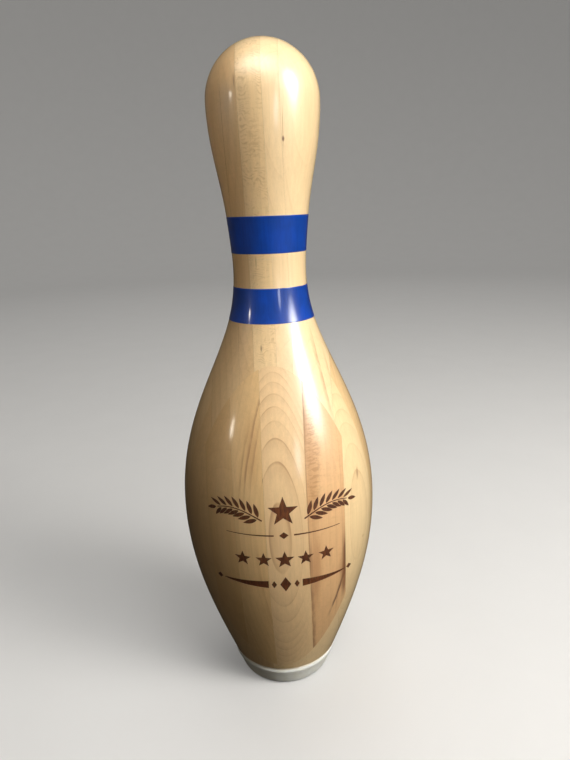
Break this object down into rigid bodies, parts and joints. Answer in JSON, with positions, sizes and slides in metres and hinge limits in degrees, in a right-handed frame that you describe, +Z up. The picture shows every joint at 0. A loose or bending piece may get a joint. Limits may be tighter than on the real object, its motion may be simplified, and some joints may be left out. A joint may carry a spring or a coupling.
{
  "type": "bowling pin",
  "caption": "Wooden tenpin turned from a glued maple billet, with a rounded belly and head, painted neck stripes and a plastic base ring.",
  "frame": {"origin": "centre of the base on the floor plane", "axes": "+Z up along the turning axis, -Y towards the decorated front of the belly"},
  "size_m": [0.1184, 0.1184, 0.381],
  "materials": {
    "maple_core": "clear gloss lacquer over maple boards",
    "maple_block": "clear gloss lacquer over maple strips",
    "maple_heart": "clear gloss lacquer over reddish heartwood",
    "nylon": "satin natural nylon, slightly translucent",
    "stripe_paint": "gloss blue paint under clear lacquer"
  },
  "bodies": {
    "root": {"core_strip_1": "maple_core", "core_strip_2": "maple_core", "core_strip_3": "maple_core", "core_strip_4": "maple_core", "core_strip_5": "maple_core", "front_block_strip_1": "maple_block", "front_block_strip_2": "maple_block", "front_block_strip_3": "maple_block", "front_block_strip_4": "maple_heart", "back_block_strip_1": "maple_block", "back_block_strip_2": "maple_block", "back_block_strip_3": "maple_block", "back_block_strip_4": "maple_block", "left_block_strip_1": "maple_block", "left_block_strip_2": "maple_block", "left_block_strip_3": "maple_block", "left_block_strip_4": "maple_block", "right_block_strip_1": "maple_block", "right_block_strip_2": "maple_block", "right_block_strip_3": "maple_block", "right_block_strip_4": "maple_block", "base_ring": "nylon", "neck_stripe_upper": "stripe_paint", "neck_stripe_lower": "stripe_paint"}
  },
  "joints": []
}
